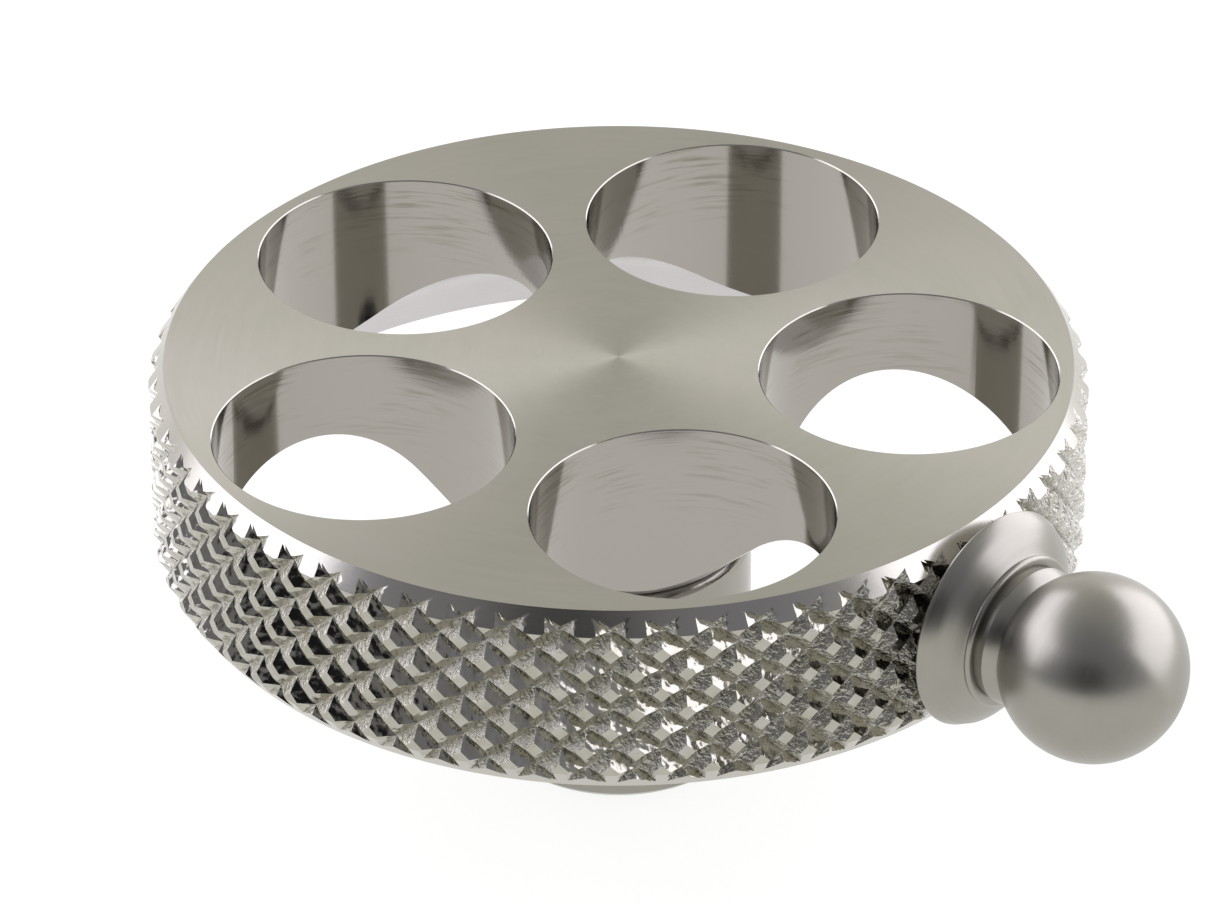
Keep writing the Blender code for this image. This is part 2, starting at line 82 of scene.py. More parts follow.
# ---------------------------------------------------------------- the wheel
BAND_RADIAL = 0.00103       # the plain chamfer round both faces
BAND_HEIGHT = 0.00148
HOLE_COUNT = 5
HOLE_RADIUS = 0.0101
HOLE_CIRCLE = 0.01965       # radius of the circle of the holes' centres
HOLE_EDGE = 0.00007         # the fine flare where a hole meets the top face
RECESS_CENTRE = (0.0203, 0.0023)    # radius and height of the arch's own centre
RECESS_ARCH_RADIUS = 0.0096
RECESS_DEGREES = (32, 135)
RECESS_STEPS = 40
RECESS_RIM_RADIUS = 0.0304  # where the recess meets the bottom face
BOSS_RADIUS = 0.0088
BOSS_BOTTOM = 0.00455
SCREW_RADIUS = 0.0025

DIAMONDS_ROUND = 60
DIAMOND_HEIGHT = 0.00306
CROSSING_Z = 0.01662        # height of the uppermost row of groove crossings
CROSSING_ANGLE = math.radians(-43.25)
GROOVE_DEPTH = 0.00066
LAND_SHARE = 0.36           # width of a diamond's flat top against the groove spacing
FLANK_SHARES = (0.0, 0.25, 0.5, 0.72, 0.88, 1.0)
SIDE_STEPS = 4
FIN_FROM = 0.88             # share of the flank where the fin in a down-right groove starts
FIN_HEIGHT = 0.0002
TEAR_SCALE = 2600.0         # waves per metre of the torn flanks
TEAR_HEIGHT = 0.00009
GROOVE_TEAR = 0.25          # share of the tearing at the bottom of a groove
FIN_TEAR = 0.15             # share of the tearing on a fin

# ---------------------------------------------------------------- the hub
HUB_ROUND = 0.0009
HUB_CHAMFER = 0.0004
HUB_HAIRLINE = 0.00012      # the dark line between the hub and the boss
HUB_BORE_RADIUS = 0.0064
HUB_FLOOR_THICKNESS = 0.0035
HEAD_BORE_RADIUS = 0.0048   # round the screw's head
SPIGOT_RADIUS = 0.007
SPIGOT_CHAMFER = 0.0004
RING_LIP = 0.00045          # the ring's snap lip stands out by this from its body
RING_LIP_HEIGHT = 0.0005

# ---------------------------------------------------------------- the knob, its x running outwards
KNOB_HAIRLINE = 0.00006     # the dark line between the flange and the ball
STUD_BORE_RADIUS = 0.0023
STUD_BORE_END = 0.0408      # x of the bore's blind end in the ball
FLANGE_SPIGOT_RADIUS = 0.0052
FLANGE_BACK = 0.03245       # x of the flat face behind the dome
FLANGE_BACK_RADIUS = 0.0072
FLANGE_EDGE = (             # how far in from the flange's radius, and x
    (0.00006, 0.03257),
    (0.0, 0.03268),
    (0.00003, 0.0328),
    (0.00014, 0.03298),
    (0.0004, 0.0335),
)
FLANGE_DOME = (             # radius and x
    (0.00672, 0.03388),
    (0.0063, 0.0342),
    (0.00586, 0.03449),
    (0.00545, 0.0347),
)
STEP_RING_CENTRE = (0.00505, 0.03495)   # radius and x of the step ring's rounded rim
STEP_RING_ROUND = 0.00027
STEP_RING_DEGREES = (-30, 90)
STEP_RING_INNER = 0.0046    # radius where the ring's front turns in to meet the ball
NECK_RADIUS = 0.0043        # where the neck ring runs into the ball
NECK_RING = (               # radius, and distance from the ball's inner end
    (0.0047, 0.0),
    (0.0048, 0.0004),
    (0.0046, 0.0009),
)
BALL_STEPS = 48

# ---------------------------------------------------------------- colours, each a dark and a light
ACROSS_THE_LINES = 0.25     # a highlight's quarter turn from the tangent
FACE_NICKEL = ((0.385, 0.385, 0.318), (0.445, 0.42, 0.378))
BAND_NICKEL = ((0.44, 0.43, 0.37), (0.49, 0.47, 0.43))
EDGE_NICKEL = ((0.38, 0.372, 0.318), (0.42, 0.405, 0.362))
# The knob's and hub's nickel is a darker copy of the wheel's: painted shade, standing in for the dimmer
# reflections that they show.
SHADED_SATIN_NICKEL = ((0.295, 0.286, 0.245), (0.335, 0.322, 0.287))
# The recess's nickel is a lighter, lilac copy of the wheel's: a painted reflection of the lilac
# softboxes.
LIT_RECESS_NICKEL = ((0.50, 0.48, 0.475), (0.55, 0.53, 0.53))
KNURL_NICKEL = ((0.33, 0.32, 0.235), (0.50, 0.485, 0.46))
WALL_NICKEL = (0.37, 0.352, 0.318)
WALL_STREAK = (0.215, 0.20, 0.155)
STREAKS_REACH = 0.008       # how far the walls' dark streaks reach down from the top face
KNURL, FACE, BAND, EDGE, WALL, RECESS = range(6)

PLAIN_LOOKS = {             # dark, light, lowest and highest roughness, metallic
    "machined_stainless": ((0.44, 0.44, 0.45), (0.52, 0.52, 0.53), 0.22, 0.36, 1.0),
    "ground_spring_steel": ((0.24, 0.24, 0.26), (0.32, 0.32, 0.34), 0.3, 0.45, 1.0),
    "machined_brass": ((0.62, 0.45, 0.18), (0.72, 0.54, 0.25), 0.2, 0.34, 1.0),
    "black_oxide_steel": ((0.03, 0.03, 0.033), (0.06, 0.06, 0.065), 0.35, 0.5, 1.0),
    "natural_nylon": ((0.78, 0.77, 0.71), (0.84, 0.83, 0.78), 0.4, 0.55, 0.0),
}
PLAIN_NODES = {
    "hub_screw": "machined_stainless",
    "knob_stud": "machined_stainless",
    "hub_lock_washer": "ground_spring_steel",
    "drive_pin_1": "ground_spring_steel",
    "drive_pin_2": "ground_spring_steel",
    "stem_adapter": "machined_brass",
    "set_screw": "black_oxide_steel",
    "glide_ring": "natural_nylon",
}

# ---------------------------------------------------------------- floor, light and camera
VIEW_AZIMUTH = math.radians(41.66)
VIEW_ELEVATION_DEGREES = 32.09
VIEW_DISTANCE = 0.5543
AIM_BELOW = 0.00648         # the camera's aim, against the middle of the top face
AIM_LEFT = 0.00044
LENS_MM = 241.56
SENSOR_MM = 36.0
CLIP_FROM = 0.01
CLIP_TO = 20.0
TOWARDS_VIEWER = Vector((math.sin(VIEW_AZIMUTH), -math.cos(VIEW_AZIMUTH), 0))
TO_THE_RIGHT = Vector((math.cos(VIEW_AZIMUTH), math.sin(VIEW_AZIMUTH), 0))

FLOOR_SIZE = 8.0
FLOOR_SQUARES = 8
FLOOR_COLOURS = ((0.17, 0.17, 0.165), (0.19, 0.19, 0.185))
FLOOR_GLOW = (1.0, 1.0, 0.99, 1.0)
FLOOR_GLOW_STRENGTH = 0.89

LILAC = (0.89, 0.87, 1.0)
SOFTBOX_DISTANCE = 0.8
SOFTBOXES = {               # azimuth and elevation in degrees, width, height, watts
    "left_softbox": (-115, 29, 1.3, 0.66, 7.0),
    "right_softbox": (111, 25, 1.42, 0.75, 7.6),
}
DARKEST = (-12, 17)         # azimuth and elevation of the viewer's dark side
ROOM_STOPS = (              # degrees from the darkest direction, and the room's light there
    (17, (0.02, 0.02, 0.023)),
    (27, (0.27, 0.27, 0.29)),
    (50, (0.31, 0.31, 0.36)),
    (75, (0.45, 0.45, 0.44)),
    (108, (0.60, 0.59, 0.57)),
    (140, (1.06, 1.04, 1.01)),
)


# ---------------------------------------------------------------- mesh tools
def smooth(data):
    data.shade_smooth()
    data.set_sharp_from_angle(angle=SMOOTH_BELOW)


def link(name, mesh, looks=()):
    """An object of this mesh, with its faces turned outwards."""
    data = bpy.data.meshes.new(name)
    bmesh.ops.recalc_face_normals(mesh, faces=mesh.faces)
    mesh.to_mesh(data)
    mesh.free()
    smooth(data)
    for look in looks:
        data.materials.append(look)
    obj = bpy.data.objects.new(name, data)
    bpy.context.scene.collection.objects.link(obj)
    return obj


def ring(mesh, radius, z, centre=(0.0, 0.0)):
    """Points round a circle, or one point where the radius is zero."""
    if radius == 0:
        return [mesh.verts.new((centre[0], centre[1], z))]
    angles = [2 * math.pi * index / ROUND for index in range(ROUND)]
    return [
        mesh.verts.new((centre[0] + radius * math.cos(a), centre[1] + radius * math.sin(a), z))
        for a in angles
    ]


def bridge(mesh, first, second, zone=0):
    """Faces between two rings of the same count, either of which may be one point."""
    count = max(len(first), len(second))
    for index in range(count):
        after = (index + 1) % count
        if len(first) == 1:
            corners = (first[0], second[index], second[after])
        elif len(second) == 1:
            corners = (first[index], second[0], first[after])
        else:
            corners = (first[index], second[index], second[after], first[after])
        mesh.faces.new(corners).material_index = zone


def arc(centre, radius, start_degrees, end_degrees, steps):
    """Points along an arc, with both of its ends."""
    points = []
    for step in range(steps + 1):
        angle = math.radians(start_degrees + (end_degrees - start_degrees) * step / steps)
        points.append((centre[0] + radius * math.cos(angle), centre[1] + radius * math.sin(angle)))
    return points


def revolve(mesh, outline, zones=(0,), centre=(0.0, 0.0)):
    """Turns an outline of (r, z) points about Z. The last zone holds to the outline's end."""
    rings = [ring(mesh, radius, z, centre) for radius, z in outline]
    for index, (first, second) in enumerate(zip(rings, rings[1:])):
        bridge(mesh, first, second, zones[min(index, len(zones) - 1)])
    return rings


def turned(name, outline, look):
    """A solid from a closed outline, or from an open one that starts and ends on the axis."""
    mesh = bmesh.new()
    rings = revolve(mesh, outline)
    if len(rings[0]) > 1:
        bridge(mesh, rings[-1], rings[0])
    return link(name, mesh, [look])


def lying_along_x(height):
    """Turns a piece's own Z to run along X, at this height."""
    return Matrix.Translation((0, 0, height)) @ Matrix.Rotation(math.pi / 2, 4, "Y")


# ---------------------------------------------------------------- the knurled rim
def on_rim(across, up, depth):
    """A point of the knurl: across in diamonds round the rim, up in diamond heights."""
    angle = CROSSING_ANGLE + 2 * math.pi * across / DIAMONDS_ROUND
    radius = WHEEL_RADIUS - depth
    return Vector((radius * math.cos(angle), radius * math.sin(angle), CROSSING_Z + DIAMOND_HEIGHT * up))


def knurl_depth(p, q):
    """Depth below the flat tops. The grooves at p = +-0.5 run down to the right and have a fin."""
    flank = 1 - LAND_SHARE
    share_p = max(2 * abs(p) - LAND_SHARE, 0) / flank
    share_q = max(2 * abs(q) - LAND_SHARE, 0) / flank
    fin = FIN_HEIGHT * max(share_p - FIN_FROM, 0) / (1 - FIN_FROM)
    return max(GROOVE_DEPTH * min(share_p / FIN_FROM, 1) - fin, GROOVE_DEPTH * share_q)


def knurl_point(across, up, p, q):
    """A point of one diamond, with its flanks a little torn, as a knurling tool leaves them."""
    depth = knurl_depth(p, q)
    place = on_rim(across + (p + q) / 2, up + (p - q) / 2, depth)
    torn = min(depth / GROOVE_DEPTH, 1 - depth / GROOVE_DEPTH + GROOVE_TEAR)
    near_fin = 1 - 2 * (1 - FIN_FROM)
    if 2 * abs(p) > near_fin:
        torn *= FIN_TEAR
    factor = 1 + noise.noise(place * TEAR_SCALE) * TEAR_HEIGHT * torn / WHEEL_RADIUS
    return Vector((place.x * factor, place.y * factor, place.z))


def diamond_outline(mesh, across, up, half):
    """One square ring of a diamond, half being its half width, drawn corner by corner."""
    corners = [(half, half), (half, -half), (-half, -half), (-half, half)]
    outline = []
    for index, (p, q) in enumerate(corners):
        next_p, next_q = corners[(index + 1) % len(corners)]
        for step in range(SIDE_STEPS):
            share = step / SIDE_STEPS
            place = knurl_point(across, up, p + (next_p - p) * share, q + (next_q - q) * share)
            outline.append(mesh.verts.new(place))
    return outline


def add_diamond(mesh, across, up):
    """A flat-topped pyramid between four grooves."""
    halves = [(LAND_SHARE + (1 - LAND_SHARE) * share) / 2 for share in FLANK_SHARES]
    rings = [diamond_outline(mesh, across, up, half) for half in halves]
    mesh.faces.new(rings[0])
    for first, second in zip(rings, rings[1:]):
        bridge(mesh, first, second, KNURL)


def band_radius(z):
    """Radius of the plain chamfers' cones at this height, above and below the rim."""
    from_end = min(WHEEL_TOP - z, z - WHEEL_BOTTOM)
    return WHEEL_RADIUS - BAND_RADIAL + BAND_RADIAL * from_end / BAND_HEIGHT


def stands_out(place):
    """How far a point of the knurl stands out of the chamfer's cone."""
    return math.hypot(place.x, place.y) - band_radius(place.z)


def split_where_zero(mesh, height):
    """Splits the faces along the line where height, a function of a place, is zero."""
    value = {vert: height(vert.co) for vert in mesh.verts}
    for edge in list(mesh.edges):
        first, second = edge.verts
        if min(abs(value[first]), abs(value[second])) < TINY or value[first] * value[second] > 0:
            continue
        share = value[first] / (value[first] - value[second])
        made = bmesh.utils.edge_split(edge, first, share)[1]
        value[made] = 0.0
    for face in list(mesh.faces):
        on_line = [vert for vert in face.verts if abs(value[vert]) < TINY]
        if len(on_line) == 2 and not mesh.edges.get(on_line):
            bmesh.utils.face_split(face, *on_line)
    return value


def add_diamonds(mesh):
    """Rows of diamonds half a diamond apart, to just past both faces of the wheel."""
    rows_below = math.ceil((CROSSING_Z - WHEEL_BOTTOM) / DIAMOND_HEIGHT * 2) + 1
    rows_above = math.ceil((WHEEL_TOP - CROSSING_Z) / DIAMOND_HEIGHT * 2) + 1
    for row in range(-rows_below, rows_above + 1):
        for index in range(DIAMONDS_ROUND):
            add_diamond(mesh, index + 0.5 * ((row + 1) % 2), row / 2)
    bmesh.ops.remove_doubles(mesh, verts=mesh.verts, dist=NEAR)


def turn_down_chamfers(mesh):
    """Brings all that stands out of the chamfers' cones back to them."""
    value = split_where_zero(mesh, stands_out)
    outside = [vert for vert in mesh.verts if value.get(vert, stands_out(vert.co)) > 0]
    for vert in outside:
        factor = band_radius(vert.co.z) / math.hypot(vert.co.x, vert.co.y)
        vert.co.x *= factor
        vert.co.y *= factor
    for face in mesh.faces:
        if all(stands_out(vert.co) > -NEAR for vert in face.verts):
            face.material_index = BAND


def add_knurl(mesh):
    """The rim's surface, from the edge of the top face to the edge of the bottom face."""
    add_diamonds(mesh)
    turn_down_chamfers(mesh)
    for height, side in ((WHEEL_TOP, 1), (WHEEL_BOTTOM, -1)):
        bmesh.ops.bisect_plane(
            mesh,
            geom=[*mesh.verts, *mesh.edges, *mesh.faces],
            dist=TINY,
            plane_co=(0, 0, height),
            plane_no=(0, 0, side),
            clear_outer=True,
        )


def rim_loop(mesh, height):
    """The knurl's open edge at this height, in order round the axis."""
    edge_verts = {vert for edge in mesh.edges if edge.is_boundary for vert in edge.verts}
    level = [vert for vert in edge_verts if abs(vert.co.z - height) < NEAR]
    return sorted(level, key=lambda vert: math.atan2(vert.co.y, vert.co.x))


def flat_ring(mesh, outer, inner):
    """A level face between two loops."""
    verts = [*outer, *inner]
    places = [[vert.co for vert in loop] for loop in (outer, inner)]
    for corners in geometry.tessellate_polygon(places):
        mesh.faces.new([verts[corner] for corner in corners]).material_index = FACE


# ---------------------------------------------------------------- holes
def rod_cutter(mesh, radius, bottom, top, centre=(0.0, 0.0)):
    """A plain round bore."""
    revolve(mesh, [(0, bottom), (radius, bottom), (radius, top), (0, top)], (WALL,), centre)


def hole_cutter(mesh, centre):
    """One through hole, with a fine flare at the top face."""
    outline = [
        (0, WHEEL_BOTTOM - BEYOND),
        (HOLE_RADIUS, WHEEL_BOTTOM - BEYOND),
        (HOLE_RADIUS, WHEEL_TOP - HOLE_EDGE),
        (HOLE_RADIUS + HOLE_EDGE + BEYOND, WHEEL_TOP + BEYOND),
        (0, WHEEL_TOP + BEYOND),
    ]
    revolve(mesh, outline, (WALL, WALL, EDGE, WALL), centre)


def add_pin_holes(mesh):
    """The two dowel pins' holes, which the wheel and the hub share."""
    for node in PINS:
        low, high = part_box(node)
        middle = (low + high) / 2
        rod_cutter(mesh, (high.x - low.x) / 2 + ROOM, low.z - ROOM, high.z + ROOM, middle.xy)


def lay_down(mesh, height):
    bmesh.ops.transform(mesh, matrix=lying_along_x(height), verts=mesh.verts)


def wheel_cutters():
    """The stud's hole, the five holes and the two pins' holes, as one object."""
    mesh = bmesh.new()
    radius = (STUD_HIGH.z - STUD_LOW.z) / 2 + ROOM
    rod_cutter(mesh, radius, STUD_LOW.x - ROOM, WHEEL_RADIUS + BEYOND)
    lay_down(mesh, KNOB_AXIS_Z)
    for index in range(HOLE_COUNT):
        angle = 2 * math.pi * (index + 0.5) / HOLE_COUNT
        hole_cutter(mesh, (HOLE_CIRCLE * math.cos(angle), HOLE_CIRCLE * math.sin(angle)))
    add_pin_holes(mesh)
    return link("wheel_cutters", mesh)


def hub_cutters():
    """The set screw's tapped hole in the side that faces -X, and the two pins' holes."""
    mesh = bmesh.new()
    radius = (GRUB_HIGH.z - GRUB_LOW.z) / 2 + TAPPED_ROOM
    mouth = HUB_RADIUS - HUB_CHAMFER / 2
    inner_end = -mouth + HUB_RADIUS - HUB_BORE_RADIUS + BEYOND
    outline = [
        (0, inner_end),
        (radius, inner_end),
        (radius, -mouth),
        (radius + HUB_CHAMFER / 2 + BEYOND, -HUB_RADIUS - BEYOND),
        (0, -HUB_RADIUS - BEYOND),
    ]
    revolve(mesh, outline)
    lay_down(mesh, (GRUB_LOW.z + GRUB_HIGH.z) / 2)
    add_pin_holes(mesh)
    return link("hub_cutters", mesh)


def cut_out(obj, cutter):
    """Cuts the cutter's shape out of a piece, and removes the cutter."""
    step = obj.modifiers.new("holes", "BOOLEAN")
    step.operation = "DIFFERENCE"
    step.solver = "EXACT"
    step.object = cutter
    graph = bpy.context.evaluated_depsgraph_get()
    cut = bpy.data.meshes.new_from_object(obj.evaluated_get(graph))
    obj.modifiers.clear()
    obj.data = cut
    smooth(cut)
    bpy.data.objects.remove(cutter)


# ---------------------------------------------------------------- the fine pieces
def knurled_wheel(looks):
    """The disc: knurled rim, plain top face, and an arched ring-shaped recess round a boss below."""
    mesh = bmesh.new()
    add_knurl(mesh)
    mesh.faces.new(rim_loop(mesh, WHEEL_TOP)).material_index = FACE
    bottom_edge = rim_loop(mesh, WHEEL_BOTTOM)
    below = [
        (RECESS_RIM_RADIUS, WHEEL_BOTTOM),
        *arc(RECESS_CENTRE, RECESS_ARCH_RADIUS, *RECESS_DEGREES, RECESS_STEPS),
        (BOSS_RADIUS, BOSS_BOTTOM),
        (SPIGOT_RADIUS + ROOM, BOSS_BOTTOM),
        (SPIGOT_RADIUS + ROOM, HUB_HIGH.z + ROOM),
        (SCREW_RADIUS + ROOM, HUB_HIGH.z + ROOM),
        (SCREW_RADIUS + ROOM, SCREW_TOP + ROOM),
        (0, SCREW_TOP + ROOM),
    ]
    rings = revolve(mesh, below, (RECESS,))
    flat_ring(mesh, bottom_edge, rings[0])
    wheel = link("knurled_wheel_fine", mesh, looks)
    cut_out(wheel, wheel_cutters())
    return wheel


def hub_sleeve(look):
    """The sleeve under the boss: rounded top edge, and a dark hairline between it and the boss."""
    top = BOSS_BOTTOM - HUB_HAIRLINE
    ring_seat = RING_HIGH.z + ROOM
    groove = RING_HIGH.z - RING_LIP_HEIGHT - ROOM
    head_seat = ADAPTER_TOP + ROOM
    hub_floor = HUB_HIGH.z - HUB_FLOOR_THICKNESS
    outline = [
        (SCREW_RADIUS + ROOM, HUB_HIGH.z),
        (SPIGOT_RADIUS - SPIGOT_CHAMFER, HUB_HIGH.z),
        (SPIGOT_RADIUS, HUB_HIGH.z - SPIGOT_CHAMFER),
        (SPIGOT_RADIUS, top),
        *arc((HUB_RADIUS - HUB_ROUND, top - HUB_ROUND), HUB_ROUND, 90, 0, EDGE_STEPS),
        (HUB_RADIUS, HUB_LOW.z + HUB_CHAMFER),
        (HUB_RADIUS - HUB_CHAMFER, HUB_LOW.z),
        (RING_HIGH.x - RING_LIP + ROOM, HUB_LOW.z),
        (RING_HIGH.x - RING_LIP + ROOM, groove),
        (RING_HIGH.x + ROOM, groove),
        (RING_HIGH.x + ROOM, ring_seat),
        (HUB_BORE_RADIUS, ring_seat),
        (HUB_BORE_RADIUS, head_seat),
        (HEAD_BORE_RADIUS, head_seat),
        (HEAD_BORE_RADIUS, hub_floor),
        (SCREW_RADIUS + ROOM, hub_floor),
    ]
    sleeve = turned("hub_sleeve_fine", outline, look)
    cut_out(sleeve, hub_cutters())
    return sleeve


def knob_flange(look):
    """A domed rose with a fine rounded edge, and one step ring where the ball's neck starts."""
    front = BALL_LOW.x - KNOB_HAIRLINE
    outline = [
        (STUD_BORE_RADIUS, FLANGE_LOW.x),
        (FLANGE_SPIGOT_RADIUS, FLANGE_LOW.x),
        (FLANGE_SPIGOT_RADIUS, FLANGE_BACK),
        (FLANGE_BACK_RADIUS, FLANGE_BACK),
        *((FLANGE_RADIUS - inwards, x) for inwards, x in FLANGE_EDGE),
        *FLANGE_DOME,
        *arc(STEP_RING_CENTRE, STEP_RING_ROUND, *STEP_RING_DEGREES, EDGE_STEPS),
        (STEP_RING_INNER, FLANGE_HIGH.x),
        (STEP_RING_INNER, front),
        (STUD_BORE_RADIUS, front),
    ]
    flange = turned("knob_flange_fine", outline, look)
    flange.matrix_world = lying_along_x(KNOB_AXIS_Z)
    return flange


def knob_ball(look):
    """The ball, with its short neck ring and the stud's blind bore."""
    neck_depth = math.sqrt(BALL_RADIUS**2 - NECK_RADIUS**2)
    neck_angle = math.degrees(math.atan2(-neck_depth, NECK_RADIUS))
    outline = [
        (0, STUD_BORE_END),
        (STUD_BORE_RADIUS, STUD_BORE_END),
        (STUD_BORE_RADIUS, BALL_LOW.x),
        *((radius, BALL_LOW.x + outwards) for radius, outwards in NECK_RING),
        *arc((0, BALL_CENTRE), BALL_RADIUS, neck_angle, 90, BALL_STEPS)[:-1],
        (0, BALL_HIGH.x),
    ]
    ball = turned("knob_ball_fine", outline, look)
    ball.matrix_world = lying_along_x(KNOB_AXIS_Z)
    return ball


# ---------------------------------------------------------------- materials
class Look:
    """One procedural material, made node by node round its Principled shader."""

    def __init__(self, name, roughness, metallic=1.0, anisotropy=0.0):
        self.material = bpy.data.materials.new(name)
        self.material.use_nodes = True
        self.tree = self.material.node_tree
        self.shader = self.tree.nodes["Principled BSDF"]
        self.shader.inputs["Roughness"].default_value = roughness
        self.shader.inputs["Metallic"].default_value = metallic
        self.shader.inputs["Anisotropic"].default_value = anisotropy
        self.place = self.add("ShaderNodeTexCoord").outputs["Object"]

    def add(self, kind, settings=None, **values):
        """A node with its settings, each value being a number or the output that feeds it.

        A value is named after its socket, as From_Min is for "From Min", or counted, as _0 is.
        """
        made = self.tree.nodes.new(kind)
        for name, setting in (settings or {}).items():
            setattr(made, name, setting)
        for name, value in values.items():
            socket = made.inputs[int(name[1:])] if name[0] == "_" else made.inputs[name.replace("_", " ")]
            if isinstance(value, bpy.types.NodeSocket):
                self.tree.links.new(value, socket)
            else:
                socket.default_value = value
        return made

    def feed(self, socket, output):
        self.tree.links.new(output, self.shader.inputs[socket])

    def math(self, operation, first, second):
        return self.add("ShaderNodeMath", {"operation": operation}, _0=first, _1=second).outputs[0]

    def vector(self, operation, first, second=None):
        """The outputs of an operation on one vector, or on two."""
        made = self.add("ShaderNodeVectorMath", {"operation": operation}, _0=first)
        if second is not None:
            self.tree.links.new(second, made.inputs[1])
        return made.outputs

    def noise(self, scale, detail=3.0, vector=None):
        made = self.add("ShaderNodeTexNoise", Vector=vector or self.place, Scale=scale, Detail=detail)
        return made.outputs["Fac"]

    def stretched_noise(self, level, upright, detail):
        """Noise with its own waves per metre along the level and the upright."""
        stretch = self.add("ShaderNodeMapping", Vector=self.place, Scale=(level, level, upright))
        return self.noise(1.0, detail, stretch.outputs["Vector"])

    def brush_lines(self, per_metre, drift):
        """Noise that changes fast across lines round the piece's Z axis, and slowly along them."""
        parts = self.add("ShaderNodeSeparateXYZ", Vector=self.place).outputs
        flat = self.add("ShaderNodeCombineXYZ", X=parts["X"], Y=parts["Y"]).outputs[0]
        radius = self.vector("LENGTH", flat)["Value"]
        towards = self.vector("NORMALIZE", flat)["Vector"]
        turn = self.add("ShaderNodeSeparateXYZ", Vector=towards).outputs
        vector = self.add(
            "ShaderNodeCombineXYZ",
            X=self.math("MULTIPLY", radius, per_metre),
            Y=self.math("MULTIPLY", turn["X"], drift),
            Z=self.math("MULTIPLY", turn["Y"], drift),
        ).outputs[0]
        made = self.add(
            "ShaderNodeTexNoise",
            {"noise_dimensions": "4D"},
            Vector=vector,
            W=self.math("MULTIPLY", parts["Z"], per_metre),
            Scale=1.0,
            Detail=4.0,
        )
        return made.outputs["Fac"]

    def colour(self, factor, dark, light):
        mixed = self.add("ShaderNodeMix", {"data_type": "RGBA"}, Factor=factor)
        mixed.inputs["A"].default_value = (*dark, 1.0)
        mixed.inputs["B"].default_value = (*light, 1.0)
        self.feed("Base Color", mixed.outputs[2])

    def spread(self, value, low, high, from_low=0.0, from_high=1.0):
        """The value's own range, from_low to from_high, spread over low to high."""
        made = self.add(
            "ShaderNodeMapRange",
            Value=value,
            From_Min=from_low,
            From_Max=from_high,
            To_Min=low,
            To_Max=high,
        )
        return made.outputs["Result"]

    def roughness(self, value, low, high):
        self.feed("Roughness", self.spread(value, low, high))

    def bump(self, height, distance, strength=1.0):
        made = self.add("ShaderNodeBump", Height=height, Distance=distance, Strength=strength)
        self.feed("Normal", made.outputs["Normal"])

    def turned_grain(self):
        """The highlight is drawn out across lines that run round the piece's Z axis."""
        tangent = self.add("ShaderNodeTangent", {"direction_type": "RADIAL", "axis": "Z"})
        self.feed("Tangent", tangent.outputs["Tangent"])
        self.shader.inputs["Anisotropic Rotation"].default_value = ACROSS_THE_LINES


def brushed_face():
    """Fine brush lines round the middle, in a faintly mottled satin."""
    look = Look("brushed_nickel_face", 0.3, anisotropy=0.8)
    look.turned_grain()
    fine = look.brush_lines(per_metre=9000.0, drift=3.0)
    wide = look.brush_lines(per_metre=1500.0, drift=5.0)
    blotches = look.math("MULTIPLY", look.noise(scale=85.0, detail=5.0), 0.65)
    mottle = look.math("ADD", blotches, look.math("MULTIPLY", wide, 0.35))
    look.colour(look.spread(mottle, 0.0, 1.0, from_low=0.3, from_high=0.7), *FACE_NICKEL)
    look.roughness(fine, low=0.24, high=0.38)
    lines = look.math("ADD", fine, look.math("MULTIPLY", wide, 0.8))
    look.bump(lines, distance=0.000009, strength=0.5)
    return look.material


def chamfer_band():
    """Fine turned lines round the plain chamfers."""
    look = Look("turned_nickel_chamfer", 0.2, anisotropy=0.5)
    look.turned_grain()
    lines = look.brush_lines(per_metre=14000.0, drift=2.0)
    look.colour(look.noise(scale=120.0), *BAND_NICKEL)
    look.roughness(lines, low=0.16, high=0.24)
    look.bump(lines, distance=0.000003, strength=0.4)
    return look.material


def hole_edge():
    """The bright line round each hole."""
    look = Look("bright_nickel_edge", 0.16)
    grain = look.noise(scale=2500.0)
    look.colour(look.noise(scale=200.0), *EDGE_NICKEL)
    look.roughness(grain, low=0.1, high=0.2)
    look.bump(grain, distance=0.000003, strength=0.4)
    return look.material


def hole_wall():
    """Bored walls: nearly polished, with fine level tool marks that are darker near the top."""
    look = Look("bored_nickel_wall", 0.1)
    marks = look.stretched_noise(level=90.0, upright=7000.0, detail=4.0)
    streaks = look.stretched_noise(level=220.0, upright=3600.0, detail=5.0)
    height = look.add("ShaderNodeSeparateXYZ", Vector=look.place).outputs["Z"]
    high = look.spread(height, 0.0, 1.0, from_low=WHEEL_TOP - STREAKS_REACH, from_high=WHEEL_TOP)
    dark = look.spread(streaks, 0.0, 1.0, from_low=0.5, from_high=0.68)
    patches = look.spread(look.noise(scale=160.0), 0.0, 1.0, from_low=0.42, from_high=0.6)
    amount = look.math("MULTIPLY", look.math("MULTIPLY", high, dark), patches)
    look.colour(amount, WALL_NICKEL, WALL_STREAK)
    look.roughness(marks, low=0.06, high=0.14)
    relief = look.math("ADD", marks, look.math("MULTIPLY", streaks, high))
    look.bump(relief, distance=0.000005, strength=0.5)
    return look.material


